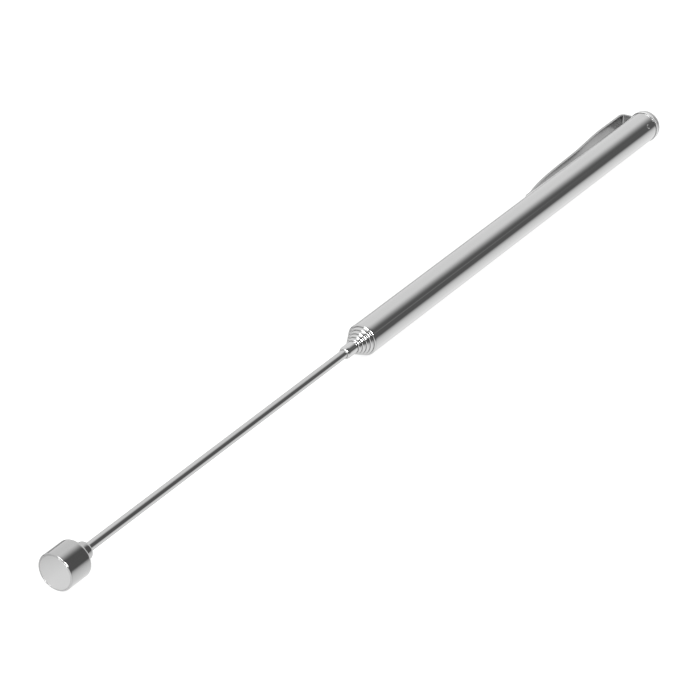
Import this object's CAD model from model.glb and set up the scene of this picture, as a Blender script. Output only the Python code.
"""Looks of a pen-sized telescoping magnetic pickup tool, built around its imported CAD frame.
Lengths are in metres. The tool lies along +X, with the magnet's face at the origin."""

import math

import bmesh
import bpy
from mathutils import Matrix, Vector


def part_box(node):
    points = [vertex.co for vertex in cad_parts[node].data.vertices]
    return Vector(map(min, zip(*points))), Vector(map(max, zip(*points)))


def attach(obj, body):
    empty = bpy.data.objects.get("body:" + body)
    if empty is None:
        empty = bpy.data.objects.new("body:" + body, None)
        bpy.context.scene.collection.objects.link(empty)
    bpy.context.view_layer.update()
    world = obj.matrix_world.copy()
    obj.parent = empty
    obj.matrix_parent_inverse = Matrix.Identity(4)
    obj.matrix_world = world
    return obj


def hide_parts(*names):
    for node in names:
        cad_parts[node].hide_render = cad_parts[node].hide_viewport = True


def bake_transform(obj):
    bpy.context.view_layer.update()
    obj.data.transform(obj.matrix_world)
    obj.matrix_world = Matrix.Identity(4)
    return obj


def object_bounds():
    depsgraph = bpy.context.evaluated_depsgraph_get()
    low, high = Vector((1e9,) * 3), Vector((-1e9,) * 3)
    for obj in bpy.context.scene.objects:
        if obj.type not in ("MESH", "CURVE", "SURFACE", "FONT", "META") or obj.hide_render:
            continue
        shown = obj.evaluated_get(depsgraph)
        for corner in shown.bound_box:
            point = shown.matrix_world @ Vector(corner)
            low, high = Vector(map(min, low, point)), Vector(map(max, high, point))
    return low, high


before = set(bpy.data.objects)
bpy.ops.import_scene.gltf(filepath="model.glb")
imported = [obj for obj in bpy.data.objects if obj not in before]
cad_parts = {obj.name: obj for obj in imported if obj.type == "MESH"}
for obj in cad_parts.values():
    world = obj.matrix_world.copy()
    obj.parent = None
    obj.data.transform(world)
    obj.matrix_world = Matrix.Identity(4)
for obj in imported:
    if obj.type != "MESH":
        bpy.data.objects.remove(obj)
cad_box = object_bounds()

# ---------------------------------------------------------------- the studio
# A pale sweep under a white soft room. The side that the viewer stands on is unlit,
# so polished tubes carry one dark band, as they do on a bench in daylight.

mm = 0.001
camera_data = bpy.data.cameras.new("camera")
camera_data.sensor_width = 36
camera_data.lens = 159.43
camera_data.clip_end = 20
camera = bpy.data.objects.new("camera", camera_data)
camera.location = (-0.36319, -0.30069, 0.31299)
looked_at = Vector((0.09765, -0.00017, 0))
camera.rotation_euler = (looked_at - camera.location).to_track_quat("-Z", "Y").to_euler()
bpy.context.scene.collection.objects.link(camera)
bpy.context.scene.camera = camera
bpy.context.scene.view_settings.view_transform = "Standard"


def add(tree, kind, inputs=None, **settings):
    """A node of that kind, with its settings and its unlinked or linked inputs."""
    node = tree.nodes.new(kind)
    for key, value in settings.items():
        setattr(node, key, value)
    for key, value in (inputs or {}).items():
        if isinstance(value, bpy.types.NodeSocket):
            tree.links.new(value, node.inputs[key])
        else:
            node.inputs[key].default_value = value
    return node


def math_of(tree, operation, a, b=0.0):
    return add(tree, "ShaderNodeMath", {0: a, 1: b}, operation=operation).outputs[0]


def eased(tree, value, start, end, low, high, kind="SMOOTHSTEP"):
    """Goes from low to high while the value goes from start to end."""
    return add(tree, "ShaderNodeMapRange",
               {"Value": value, "From Min": start, "From Max": end, "To Min": low, "To Max": high},
               interpolation_type=kind).outputs["Result"]


def mixed(tree, kind, factor, start, end):
    """Goes from start to end with the factor. Each is a value or a socket, FLOAT or RGBA."""
    node = add(tree, "ShaderNodeMix", {"Factor": factor}, data_type=kind)
    sockets = [each for each in node.inputs if each.enabled and each.name in ("A", "B")]
    for socket, value in zip(sockets, (start, end)):
        if isinstance(value, bpy.types.NodeSocket):
            tree.links.new(value, socket)
        else:
            socket.default_value = value
    return next(each for each in node.outputs if each.enabled)


room_white = 0.95
unlit_grey = 0.13
edge_softness = 0.335
to_lit_side = (0.0, 1.0, 0.3)
slit_place = 0.475
slit_half_width = 0.035
slit_light = 0.13
handle_front_heading = 0.74
world = bpy.data.worlds.new("soft_room")
world.use_nodes = True
room = world.node_tree
room.nodes.clear()
direction = add(room, "ShaderNodeTexCoord").outputs["Generated"]
# the unlit side is the viewer's, and it narrows towards the tool's rear
turned_away = add(room, "ShaderNodeVectorMath", {0: direction, 1: to_lit_side},
                  operation="DOT_PRODUCT").outputs["Value"]
rearward = add(room, "ShaderNodeSeparateXYZ", {0: direction}).outputs["X"]
narrowing = eased(room, rearward, 0.60, 0.80, -0.18, 0.03)
far_end = eased(room, rearward, 0.84, 0.96, 0.0, 0.5)
openness = math_of(room, "ADD", turned_away, math_of(room, "ADD", narrowing, far_end))
side_light = eased(room, openness, -edge_softness, edge_softness, unlit_grey, room_white)
# a faint slit of light in the unlit side, seen along the front of the handle only
off_slit = math_of(room, "ABSOLUTE", math_of(room, "ADD", turned_away, slit_place))
slit = eased(room, off_slit, 0.0, slit_half_width, slit_light, 0.0)
off_front = math_of(room, "ABSOLUTE", math_of(room, "SUBTRACT", rearward, handle_front_heading))
slit_end = eased(room, off_front, 0.02, 0.05, 1.0, 0.0, "LINEAR")
lit = math_of(room, "ADD", side_light, math_of(room, "MULTIPLY", slit, slit_end))
seen = add(room, "ShaderNodeLightPath").outputs["Is Camera Ray"]
shown = mixed(room, "FLOAT", seen, lit, 1.0)
background = add(room, "ShaderNodeBackground", {"Color": (1, 1, 1, 1), "Strength": shown})
add(room, "ShaderNodeOutputWorld", {"Surface": background.outputs[0]})
bpy.context.scene.world = world

floor_half = 4.0
sweep = bmesh.new()
bmesh.ops.create_grid(sweep, x_segments=2, y_segments=2, size=floor_half,
                      matrix=Matrix.Translation((0, 0, cad_box[0][2])))
floor_mesh = bpy.data.meshes.new("floor")
sweep.to_mesh(floor_mesh)
sweep.free()
floor = bpy.data.objects.new("floor", floor_mesh)
bpy.context.scene.collection.objects.link(floor)
paper_grey = 0.34
paper_white = 0.95
paper_far = 0.15
paper_glow = 0.78
near_reach = 23 * mm
handle_reach = 40 * mm
contact_shade = 0.26
paper = bpy.data.materials.new("pale_paper")
paper.use_nodes = True
sheet = paper.node_tree
sheet.nodes.clear()
rays = add(sheet, "ShaderNodeLightPath")
mirrored = rays.outputs["Is Glossy Ray"]
matt_grey = math_of(sheet, "MULTIPLY", math_of(sheet, "SUBTRACT", 1.0, mirrored), paper_grey)
matt = add(sheet, "ShaderNodeBsdfDiffuse", {"Color": matt_grey})
# in the metal the paper is white near the tool and fades out towards the far wall
spot = add(sheet, "ShaderNodeSeparateXYZ", {0: add(sheet, "ShaderNodeTexCoord").outputs["Object"]})
away = math_of(sheet, "ABSOLUTE", spot.outputs["Y"])
behind = eased(sheet, spot.outputs["Y"], -5 * mm, 5 * mm, 0.0, handle_reach, "LINEAR")
beside = math_of(sheet, "SUBTRACT", spot.outputs["X"], spot.outputs["Y"])
by_handle = eased(sheet, beside, 98 * mm, 106 * mm, 0.0, 1.0, "LINEAR")
reach = math_of(sheet, "ADD", near_reach, math_of(sheet, "MULTIPLY", behind, by_handle))
distance = math_of(sheet, "POWER", math_of(sheet, "DIVIDE", away, reach), 1.6)
fade = math_of(sheet, "DIVIDE", paper_white, math_of(sheet, "ADD", distance, 1.0))
contact = eased(sheet, away, 1 * mm, 4 * mm, contact_shade, 0.0, "LINEAR")
past_face = eased(sheet, spot.outputs["X"], 0.0, 10 * mm, 0.0, 1.0, "LINEAR")
lightness = math_of(sheet, "SUBTRACT", 1.0, math_of(sheet, "MULTIPLY", contact, past_face))
reflected = math_of(sheet, "MULTIPLY", math_of(sheet, "ADD", fade, paper_far), lightness)
glow = math_of(sheet, "ADD", math_of(sheet, "MULTIPLY", mirrored, reflected),
               math_of(sheet, "MULTIPLY", rays.outputs["Is Camera Ray"], paper_glow))
shine = add(sheet, "ShaderNodeEmission", {"Color": (1, 1, 1, 1), "Strength": glow})
both = add(sheet, "ShaderNodeAddShader", {0: matt.outputs[0], 1: shine.outputs[0]})
add(sheet, "ShaderNodeOutputMaterial", {"Surface": both.outputs[0]})
floor_mesh.materials.append(paper)


def soft_lamp(name, place, size, watts):
    lamp_data = bpy.data.lights.new(name, "AREA")
    lamp_data.shape = "DISK"
    lamp_data.size = size
    lamp_data.energy = watts
    lamp = bpy.data.objects.new(name, lamp_data)
    lamp.location = place
    lamp.rotation_euler = (looked_at - lamp.location).to_track_quat("-Z", "Y").to_euler()
    bpy.context.scene.collection.objects.link(lamp)


# far off, so that the drawn-out tool is lit as evenly as the closed one
soft_lamp("lamp_left", (-6.7, 0.4, 6.4), 4.8, 288.0)
soft_lamp("lamp_right", (-3.9, -5.44, 5.6), 4.48, 640.0)

# ---------------------------------------------------------------- handle tube
# A drawn and polished steel tube. Its mouth is rolled in over the largest sliding tube,
# and three punched stakes near its rear end hold it on the cap's shank.


def rounded(bm, corner, radius, segments):
    bmesh.ops.bevel(bm, geom=[corner], offset=radius, offset_type="OFFSET", segments=segments,
                    profile=0.5, affect="VERTICES", material=-1)


def turned(name, outline, rounds, closed=True, steps=96, segments=6, loops=()):
    """Spins an outline of (x, r) corners about the tool's axis. rounds gives a corner's rounding,
    and loops are places along the tool that get an edge loop of their own."""
    bm = bmesh.new()
    corners = [bm.verts.new((x, 0, r)) for x, r in outline]
    for near, far in zip(corners, corners[1:] + corners[:1] if closed else corners[1:]):
        bm.edges.new((near, far))
    for index, radius in rounds.items():
        rounded(bm, corners[index], radius, segments)
    bmesh.ops.spin(bm, geom=bm.verts[:] + bm.edges[:], cent=(0, 0, 0), axis=(1, 0, 0),
                   angle=math.tau, steps=steps, use_merge=True)
    bmesh.ops.remove_doubles(bm, verts=bm.verts[:], dist=1e-7)
    for x in loops:
        bmesh.ops.bisect_plane(bm, geom=bm.verts[:] + bm.edges[:] + bm.faces[:], dist=1e-8,
                               plane_co=(x, 0, 0), plane_no=(1, 0, 0))
    bmesh.ops.recalc_face_normals(bm, faces=bm.faces[:])
    return finished(name, bm)


def finished(name, bm, sharp_angle=38):
    """Makes the mesh an object: smooth faces, with its true corners kept sharp."""
    for face in bm.faces:
        face.smooth = True
    mesh = bpy.data.meshes.new(name)
    bm.to_mesh(mesh)
    bm.free()
    mesh.set_sharp_from_angle(angle=math.radians(sharp_angle))
    piece = bpy.data.objects.new(name, mesh)
    bpy.context.scene.collection.objects.link(piece)
    return piece


def metal(name, grey, tint=(1.0, 1.0, 1.0)):
    """A bare metal with its node tree ready for the marks that its making leaves."""
    material = bpy.data.materials.new(name)
    material.use_nodes = True
    tree = material.node_tree
    shader = tree.nodes["Principled BSDF"]
    shader.inputs["Metallic"].default_value = 1.0
    shader.inputs["Base Color"].default_value = (*(grey * part for part in tint), 1)
    return material, tree, shader


def ranged(tree, noise, low, high):
    """Stretches a noise, which seldom leaves its middle half, over low to high."""
    return eased(tree, noise, 0.25, 0.75, low, high, "LINEAR")


def noise_at(tree, vector, detail):
    noise = add(tree, "ShaderNodeTexNoise", {"Vector": vector, "Scale": 1.0, "Detail": detail})
    return noise.outputs["Fac"]


def both_noises(tree, fine, share, coarse):
    """Adds the share of the fine noise to the rest of the coarse one."""
    return math_of(tree, "ADD", math_of(tree, "MULTIPLY", fine, share),
                   math_of(tree, "MULTIPLY", coarse, 1 - share))


def shaded_grey(tree, shader, value, grey, spread, tint=(1.0, 1.0, 1.0)):
    """Lets the metal's grey wander by a few hundredths with that value."""
    low = (*(grey * (1 - spread) * part for part in tint), 1)
    high = (*(grey * (1 + spread) * part for part in tint), 1)
    tree.links.new(mixed(tree, "RGBA", value, low, high), shader.inputs["Base Color"])


def drawn_steel(name, grey, smooth, rough, mark_depth=4e-7):
    """Steel pulled through a die: fine marks along the tool, with faint handling marks."""
    material, tree, shader = metal(name, grey)
    place = add(tree, "ShaderNodeTexCoord").outputs["Object"]
    along = add(tree, "ShaderNodeMapping", {"Vector": place, "Scale": (22, 5200, 5200)}).outputs[0]
    patches = add(tree, "ShaderNodeMapping", {"Vector": place, "Scale": (90, 320, 320)}).outputs[0]
    marks = noise_at(tree, along, 3.0)
    handling = noise_at(tree, patches, 4.0)
    wear = both_noises(tree, marks, 0.6, handling)
    tree.links.new(ranged(tree, wear, smooth, rough), shader.inputs["Roughness"])
    shaded_grey(tree, shader, handling, grey, 0.03)
    bump = add(tree, "ShaderNodeBump", {"Strength": 1.0, "Distance": mark_depth, "Height": marks})
    tree.links.new(bump.outputs[0], shader.inputs["Normal"])
    return material


lip_clearance = 0.04 * mm
lip_len = 0.35 * mm
handle_wall = 0.25 * mm
skin = 0.01 * mm


def outer_radius(node):
    low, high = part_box(node)
    return (high.z - low.z) / 2


handle_low, handle_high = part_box("handle_tube")
handle_r = outer_radius("handle_tube")
handle_front = handle_low.x
handle_rear = handle_high.x
handle_bore = handle_r - handle_wall
handle_mouth = outer_radius("section_1") + lip_clearance
rear_round = 0.05 * mm
stake_inset = 2.7 * mm
stake_radius = 0.55 * mm
stake_depth = 0.25 * mm
punch_r = (stake_radius ** 2 + stake_depth ** 2) / (2 * stake_depth)
stake_clocks = [-55, 65, 185]
stake_x = handle_rear - stake_inset
stake_loops = [stake_x + step * 0.1 * mm for step in range(-8, 9)]
long_loops = [handle_front + 1 * mm] + [handle_front + step * 10 * mm for step in range(1, 12)]
handle = turned(
    "handle_tube_polished",
    [(handle_front, handle_mouth), (handle_front, handle_r), (handle_rear, handle_r),
     (handle_rear, handle_bore), (handle_front + lip_len, handle_bore),
     (handle_front + lip_len, handle_mouth)],
    {1: lip_len, 2: rear_round}, steps=256, segments=14, loops=long_loops + stake_loops)
for vertex in handle.data.vertices:
    radius = math.hypot(vertex.co.y, vertex.co.z)
    if abs(vertex.co.x - stake_x) > stake_radius or radius < handle_r - skin:
        continue
    clock = math.degrees(math.atan2(vertex.co.y, vertex.co.z))
    for stake_clock in stake_clocks:
        turn = (clock - stake_clock + 180) % 360 - 180
        away = math.hypot(vertex.co.x - stake_x, math.radians(turn) * handle_r) / stake_radius
        if away < 1:
            depth = math.sqrt(punch_r ** 2 - (away * stake_radius) ** 2) - (punch_r - stake_depth)
            sunk = 1 - depth / handle_r
            vertex.co.y *= sunk
            vertex.co.z *= sunk
handle.data.materials.append(drawn_steel("handle_steel", 0.62, 0.05, 0.11))
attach(handle, "handle")
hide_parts("handle_tube")

# ---------------------------------------------------------------- end cap
# A turned steel plug. Its shank fills the handle's rear end behind the sliding tubes, and its
# domed head traps the clip's ring against the tube.


def along_and_off_axis(tree, place):
    """Splits a place into its x and its distance from the tool's axis."""
    parts = add(tree, "ShaderNodeSeparateXYZ", {0: place})
    flat = add(tree, "ShaderNodeCombineXYZ", {"Y": parts.outputs["Y"], "Z": parts.outputs["Z"]})
    radius = add(tree, "ShaderNodeVectorMath", {0: flat.outputs[0]}, operation="LENGTH")
    return parts.outputs["X"], radius.outputs["Value"]


def turned_steel(name, grey, smooth, rough, ring_depth=3e-7, ring_scale=4200):
    """Steel cut on a lathe: fine rings about the tool's axis, on faces and walls alike."""
    material, tree, shader = metal(name, grey)
    place = add(tree, "ShaderNodeTexCoord").outputs["Object"]
    along, radius = along_and_off_axis(tree, place)
    profile = add(tree, "ShaderNodeCombineXYZ", {"X": along, "Y": radius}).outputs[0]
    fine = add(tree, "ShaderNodeMapping",
               {"Vector": profile, "Scale": (ring_scale, ring_scale, 1)}).outputs[0]
    blotch = add(tree, "ShaderNodeMapping", {"Vector": place, "Scale": (420, 420, 420)}).outputs[0]
    rings = noise_at(tree, fine, 2.0)
    handling = noise_at(tree, blotch, 4.0)
    wear = both_noises(tree, rings, 0.5, handling)
    tree.links.new(ranged(tree, wear, smooth, rough), shader.inputs["Roughness"])
    shaded_grey(tree, shader, handling, grey, 0.04)
    bump = add(tree, "ShaderNodeBump", {"Strength": 1.0, "Distance": ring_depth, "Height": rings})
    tree.links.new(bump.outputs[0], shader.inputs["Normal"])
    return material


cap_low, cap_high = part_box("end_cap")
ring_low, ring_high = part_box("clip_ring")
clip_t = ring_high.x - ring_low.x
cap_r = outer_radius("end_cap")
cap_front = ring_high.x
shank_round = 0.2 * mm
cap_front_round = 0.05 * mm
cap_round = 2.0 * mm
cap = turned(
    "end_cap_turned",
    [(cap_low.x, 0), (cap_low.x, handle_bore), (cap_front, handle_bore), (cap_front, cap_r),
     (cap_high.x, cap_r), (cap_high.x, 0)],
    {1: shank_round, 3: cap_front_round, 4: cap_round}, closed=False, segments=16,
    loops=[cap_front + 0.15 * mm])
cap.data.materials.append(turned_steel("cap_steel", 0.6, 0.36, 0.5))
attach(cap, "handle")
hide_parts("end_cap")

# ---------------------------------------------------------------- pocket clip
# One stamped and plated spring-steel strip. A ring at its root sits on the cap's shank, the
# riser bends over, and the arm dips towards the handle and curls up at its tip.

clip_clock = math.radians(94)
clip_out = Vector((0, math.sin(clip_clock), math.cos(clip_clock)))
clip_side = Vector((0, math.cos(clip_clock), -math.sin(clip_clock)))
clip_root_w = 4.2 * mm
clip_tip_w = 2.3 * mm
clip_len = handle_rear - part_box("clip_arm")[0].x
clip_rise = 2.6 * mm
clip_mid_rise = 2.0 * mm
clip_foot_rise = 0.75 * mm
clip_curl = 0.15 * mm
clip_flat = 10 * mm
clip_dip_len = 14 * mm
clip_foot_s = clip_len - 2.4 * mm
clip_inner_bend = 0.5 * mm
tab_rise = 0.35 * mm
tip_flat = 0.2 * mm
ring_steps = 96
bend_steps = 8
arm_steps = 60
tip_steps = 10


def arm_rise(s):
    """Height of the arm's outside above the handle at a distance s from the root."""
    dip_end = clip_flat + clip_dip_len
    if s < clip_flat:
        return clip_rise
    if s < dip_end:
        t = (s - clip_flat) / clip_dip_len
        return clip_rise - (clip_rise - clip_mid_rise) * t * t * (3 - 2 * t)
    if s < clip_foot_s:
        t = (s - dip_end) / (clip_foot_s - dip_end)
        return clip_mid_rise - (clip_mid_rise - clip_foot_rise) * t ** 4
    return clip_foot_rise + clip_curl * (s - clip_foot_s) / (clip_len - clip_foot_s)


def arm_half_width(s):
    """Half of the strip's width there: straight, tapering, and round at the tip."""
    tip_r = clip_tip_w / 2
    taper = max(0.0, s - clip_flat) / (clip_len - tip_r - clip_flat)
    half = clip_root_w / 2 + (tip_r - clip_root_w / 2) * min(1.0, taper)
    past = s - (clip_len - tip_r)
    return half if past <= 0 else math.sqrt(max(tip_r ** 2 - past ** 2, tip_flat ** 2))


strip = bmesh.new()
facing_rear = Matrix.Translation((handle_rear, 0, 0)) @ Matrix.Rotation(math.pi / 2, 4, "Y")
bmesh.ops.create_circle(strip, radius=handle_bore, segments=ring_steps, cap_ends=False,
                        matrix=facing_rear)
rim = bmesh.ops.extrude_edge_only(strip, edges=strip.edges[:])["geom"]
rim_verts = [v for v in rim if isinstance(v, bmesh.types.BMVert)]
rim_edges = [e for e in rim if isinstance(e, bmesh.types.BMEdge)]
for vertex in rim_verts:
    outward = Vector((0, vertex.co.y, vertex.co.z)).normalized()
    vertex.co = Vector((handle_rear, 0, 0)) + outward * cap_r
tab = [e for e in rim_edges if all(v.co.dot(clip_out) > 0 and abs(v.co.dot(clip_side)) < clip_root_w / 2
                                   for v in e.verts)]
path = [(0.0, cap_r + tab_rise)]
bend_top = handle_r + clip_rise - (clip_t + clip_inner_bend)
for step in range(bend_steps + 1):
    angle = math.radians(90 * step / bend_steps)
    path.append((clip_inner_bend * (1 - math.cos(angle)), bend_top + clip_inner_bend * math.sin(angle)))
stations = [clip_inner_bend + (clip_len - clip_inner_bend) * (step / arm_steps)
            for step in range(1, arm_steps - 4)]
tip_start = stations[-1]
stations += [tip_start + (clip_len - tip_start) * math.sin(math.radians(90 * step / tip_steps))
             for step in range(1, tip_steps + 1)]
path += [(s, handle_r + arm_rise(s) - clip_t) for s in stations]
row = tab
tab_side = max(abs(v.co.dot(clip_side)) for e in tab for v in e.verts)
for s, r in path:
    made = bmesh.ops.extrude_edge_only(strip, edges=row)["geom"]
    row = [e for e in made if isinstance(e, bmesh.types.BMEdge)]
    for vertex in [v for v in made if isinstance(v, bmesh.types.BMVert)]:
        across = vertex.co.dot(clip_side)
        share = across / tab_side
        middle = Vector((handle_rear - s, 0, 0)) + clip_out * r
        vertex.co = middle + clip_side * (share * arm_half_width(s))
    tab_side = arm_half_width(s)
bmesh.ops.remove_doubles(strip, verts=strip.verts[:], dist=1e-7)
bmesh.ops.recalc_face_normals(strip, faces=strip.faces[:])
strip.faces.ensure_lookup_table()
facing = strip.faces[0].normal.x
clip = finished("pocket_clip_stamped", strip, 60)
gauge = clip.modifiers.new("gauge", "SOLIDIFY")
gauge.thickness = clip_t
gauge.offset = 1.0 if facing > 0 else -1.0
gauge.use_even_offset = True
edges = clip.modifiers.new("tumbled_edges", "BEVEL")
edges.width = 0.1 * mm
edges.segments = 3
edges.limit_method = "ANGLE"
edges.angle_limit = math.radians(50)
clip_metal = drawn_steel("clip_steel", 0.43, 0.14, 0.26, 6e-7)
sheared_rough = 0.6
sheared_grey = (0.9, 0.9, 0.9, 1)
# the ring's sheared edge shows as a pale, duller line between the tube and the cap
strip_tree = clip_metal.node_tree
strip_shader = strip_tree.nodes["Principled BSDF"]
strip_place = add(strip_tree, "ShaderNodeTexCoord").outputs["Object"]
strip_x, strip_radius = along_and_off_axis(strip_tree, strip_place)
sheared = math_of(strip_tree, "MULTIPLY",
                  math_of(strip_tree, "LESS_THAN", strip_radius, cap_r + 0.1 * mm),
                  math_of(strip_tree, "GREATER_THAN", strip_x, handle_rear))
for kind, name, value in (("FLOAT", "Roughness", sheared_rough), ("RGBA", "Base Color", sheared_grey)):
    socket = strip_shader.inputs[name]
    strip_tree.links.new(mixed(strip_tree, kind, sheared, socket.links[0].from_socket, value), socket)
clip.data.materials.append(clip_metal)
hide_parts("clip_ring", "clip_arm")
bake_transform(clip)

# ---------------------------------------------------------------- sliding tubes
# Five bright plated tubes that nest in one another. Each mouth is rolled in over the next
# tube, and each rear end is swaged down to a neck that carries two friction springs.

tube_wall = 0.2 * mm
seat_depth = 0.15 * mm
rim_len = 0.7 * mm
seat_len = 4.4 * mm
nose_len = 0.9 * mm
rod_r = 0.925 * mm
tube_count = 5
tube_finish = drawn_steel("tube_steel", 0.66, 0.05, 0.1, 3e-7)
for k in range(1, tube_count + 1):
    node = f"section_{k}"
    inside = f"section_{k + 1}" if k < tube_count else "rod"
    low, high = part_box(node)
    r = outer_radius(node)
    inner_r = outer_radius(inside) if k < tube_count else rod_r
    mouth = inner_r + lip_clearance
    bore = r - tube_wall
    seat = r - seat_depth
    shoulder = high.x - rim_len - seat_len - tube_wall
    tube = turned(
        f"{node}_plated",
        [(low.x, mouth), (low.x, r), (shoulder + tube_wall, r), (shoulder + tube_wall, seat),
         (high.x - rim_len, seat), (high.x - rim_len, r), (high.x, r), (high.x, seat - tube_wall),
         (shoulder, seat - tube_wall), (shoulder, bore), (low.x + lip_len, bore),
         (low.x + lip_len, mouth)],
        {1: lip_len}, steps=128, segments=14,
        loops=[low.x + 1 * mm] + [low.x + step * 10 * mm for step in range(1, 9)])
    if k == tube_count:
        for vertex in tube.data.vertices:
            if vertex.co.x < low.x + lip_len and math.hypot(vertex.co.y, vertex.co.z) > mouth + skin:
                vertex.co.x = low.x + (vertex.co.x - low.x) * nose_len / lip_len
    tube.data.materials.append(tube_finish)
    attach(tube, node)
    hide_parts(node)

# ---------------------------------------------------------------- friction springs
# Pairs of bowed phosphor-bronze half shells. They sit in the necks and on the rod's end and
# press on the bore around them, so that each tube stays where it is pulled to.

bronze_grey = 0.72
bronze_tint = (1.0, 0.62, 0.35)
bronze, bronze_tree, bronze_shader = metal("spring_bronze", bronze_grey, bronze_tint)
bronze_place = add(bronze_tree, "ShaderNodeTexCoord").outputs["Object"]
bronze_fine = add(bronze_tree, "ShaderNodeMapping", {"Vector": bronze_place, "Scale": (900, 2600, 2600)})
bronze_marks = noise_at(bronze_tree, bronze_fine.outputs[0], 3.0)
bronze_tree.links.new(ranged(bronze_tree, bronze_marks, 0.18, 0.4), bronze_shader.inputs["Roughness"])
shaded_grey(bronze_tree, bronze_shader, bronze_marks, bronze_grey, 0.08, bronze_tint)
bronze_bump = add(bronze_tree, "ShaderNodeBump", {"Distance": 4e-7, "Height": bronze_marks})
bronze_tree.links.new(bronze_bump.outputs[0], bronze_shader.inputs["Normal"])
for pair in range(1, tube_count + 2):
    for side in "ab":
        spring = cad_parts[f"friction_spring_{pair}{side}"]
        spring.data.materials.clear()
        spring.data.materials.append(bronze)

# ---------------------------------------------------------------- rod
# A solid drawn rod. It is riveted over inside the cup, and a waist at its far end seats the
# last pair of friction springs.

rod_low, rod_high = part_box("rod")
rivet_r = outer_radius("rod")
rivet_t = 0.9 * mm
rivet_round = 0.3 * mm
rod_end_round = 0.1 * mm
waist_r = rod_r - seat_depth
waist_end = rod_high.x - rim_len
rod = turned(
    "rod_drawn",
    [(rod_low.x, 0), (rod_low.x, rivet_r), (rod_low.x + rivet_t, rivet_r), (rod_low.x + rivet_t, rod_r),
     (waist_end - seat_len, rod_r), (waist_end - seat_len, waist_r), (waist_end, waist_r),
     (waist_end, rod_r), (rod_high.x, rod_r), (rod_high.x, 0)],
    {1: rivet_round, 8: rod_end_round}, closed=False, steps=64,
    loops=[rod_low.x + step * 10 * mm for step in range(1, 10)])
rod.data.materials.append(drawn_steel("rod_steel", 0.6, 0.07, 0.14))
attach(rod, "head_rod")
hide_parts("rod")

# ---------------------------------------------------------------- ferrule
# A small turned collar pressed on the rod behind the cup, domed towards the rod.

ferrule_low, ferrule_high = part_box("ferrule")
ferrule_r = outer_radius("ferrule")
dome_r = 0.9 * mm
ferrule_front_round = 0.15 * mm
ferrule = turned(
    "ferrule_turned",
    [(ferrule_low.x, rod_r), (ferrule_low.x, ferrule_r),
     (ferrule_high.x, ferrule_r), (ferrule_high.x, rod_r)],
    {1: ferrule_front_round, 2: dome_r}, segments=16,
    loops=[ferrule_low.x + 0.4 * mm, ferrule_high.x - dome_r - 0.3 * mm])
head_finish = turned_steel("head_steel", 0.53, 0.06, 0.12, 1.5e-7)
ferrule.data.materials.append(head_finish)
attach(ferrule, "head_rod")
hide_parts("ferrule")

# ---------------------------------------------------------------- magnet cup
# A turned steel cup that guards the magnet and closes its field. Its edges are rounded, and
# its floor is riveted to the rod.

cup_low, cup_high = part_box("magnet_cup")
cup_r = outer_radius("magnet_cup")
cup_wall = 0.36 * mm
cup_bore = cup_r - cup_wall
cup_floor = rod_low.x + rivet_t
cup_bore_round = 0.03 * mm
cup_front_round = 0.25 * mm
cup_rear_round = 0.8 * mm
cup = turned(
    "magnet_cup_turned",
    [(cup_low.x, cup_bore), (cup_low.x, cup_r), (cup_high.x, cup_r), (cup_high.x, rod_r),
     (cup_floor, rod_r), (cup_floor, cup_bore)],
    {0: cup_bore_round, 1: cup_front_round, 2: cup_rear_round}, steps=160, segments=12,
    loops=[cup_low.x + 0.4 * mm, cup_high.x - 1.0 * mm])
cup.data.materials.append(head_finish)
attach(cup, "head_rod")
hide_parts("magnet_cup")

# ---------------------------------------------------------------- magnet
# A nickel-plated disc magnet, ground flat and glued flush with the cup's front.

magnet_low, magnet_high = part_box("magnet")
magnet_r = outer_radius("magnet")
magnet_round = 0.05 * mm
magnet = turned(
    "magnet_ground",
    [(magnet_low.x, 0), (magnet_low.x, magnet_r), (magnet_high.x, magnet_r), (magnet_high.x, 0)],
    {1: magnet_round}, closed=False, steps=160, segments=4)
magnet.data.materials.append(turned_steel("magnet_nickel", 0.6, 0.16, 0.28, 2e-7, 2600))
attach(magnet, "head_rod")
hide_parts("magnet")
